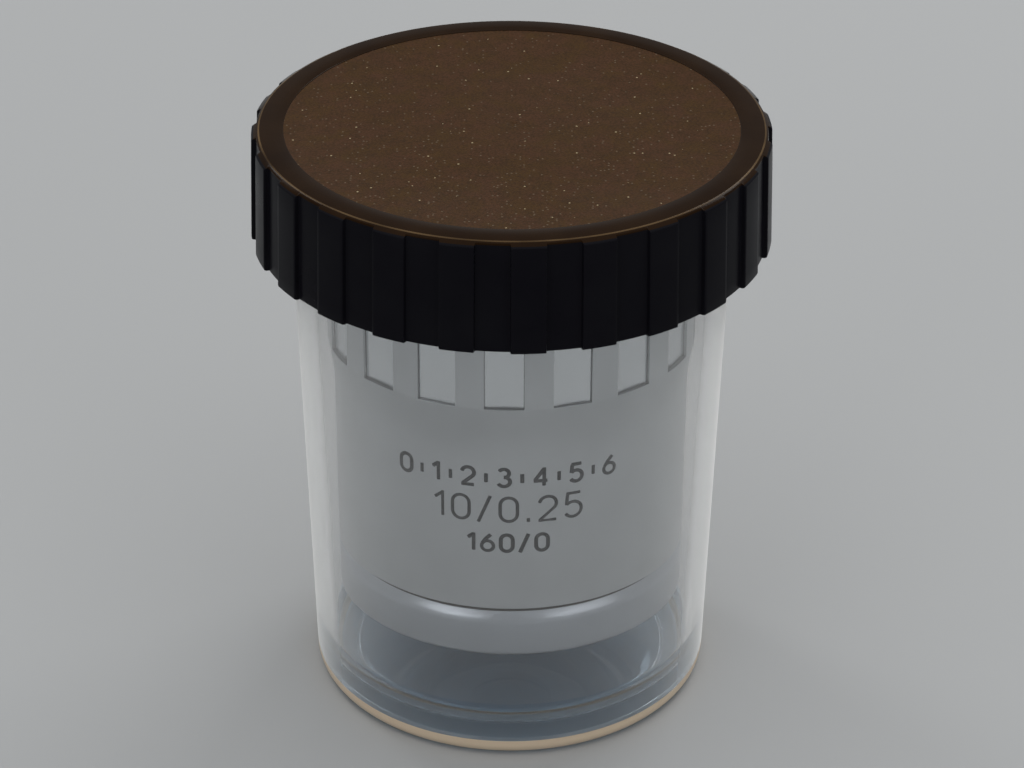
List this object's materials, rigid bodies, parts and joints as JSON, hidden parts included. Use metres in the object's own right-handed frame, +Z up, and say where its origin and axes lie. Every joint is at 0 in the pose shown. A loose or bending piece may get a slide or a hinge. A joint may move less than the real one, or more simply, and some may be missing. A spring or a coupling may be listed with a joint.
{
  "type": "microscope objective in a screw-capped case",
  "caption": "Satin metal microscope objective with a slotted flared grip ring, hanging nose down from the threaded boss of a fluted screw cap inside a clear tapered jar.",
  "frame": {"origin": "centre of the jar's base, on the surface that it stands on", "axes": "+Z up along the objective's optical axis, from the nose to the mounting thread; -Y is the lettered front"},
  "size_m": [0.0472, 0.0472, 0.0562],
  "materials": {
    "clear_plastic": "gloss, clear",
    "black_phenolic": "semi-gloss, moulded",
    "satin_chrome": "satin",
    "black_oxide": "blackened, matte",
    "brass": "turned",
    "ring_mirror": "polished",
    "optical_glass": "polished, coated"
  },
  "bodies": {
    "jar": {"case_jar": "clear_plastic"},
    "objective": {"outer_barrel": "satin_chrome", "mount_flange": "satin_chrome", "nose_ring": "satin_chrome", "annular_mirror": "ring_mirror", "mirror_retainer": "black_oxide", "lens_tube": "black_oxide", "parfocal_shim": "brass", "lock_ring": "brass", "front_cell": "satin_chrome", "front_lens": "optical_glass", "cell_2": "brass", "lens_2": "optical_glass", "cell_3": "brass", "doublet_a_crown": "optical_glass", "doublet_a_flint": "optical_glass", "spacer_ring": "brass", "cell_4": "brass", "doublet_b_crown": "optical_glass", "doublet_b_flint": "optical_glass", "aperture_stop": "black_oxide", "spacer_tube": "brass", "cell_5": "brass", "rear_flint": "optical_glass", "rear_crown": "optical_glass", "cell_retainer": "black_oxide"},
    "cap": {"case_cap": "black_phenolic"}
  },
  "joints": [
    {"name": "lift_off", "type": "slide", "parent": "jar", "child": "objective", "axis": [0, 0, 1], "range_m": [0, 0.05]},
    {"name": "cap_turn", "type": "hinge", "parent": "objective", "child": "cap", "pos_m": [0, 0, 0.05], "axis": [0, 0, 1], "range_deg": [0, 540]}
  ]
}
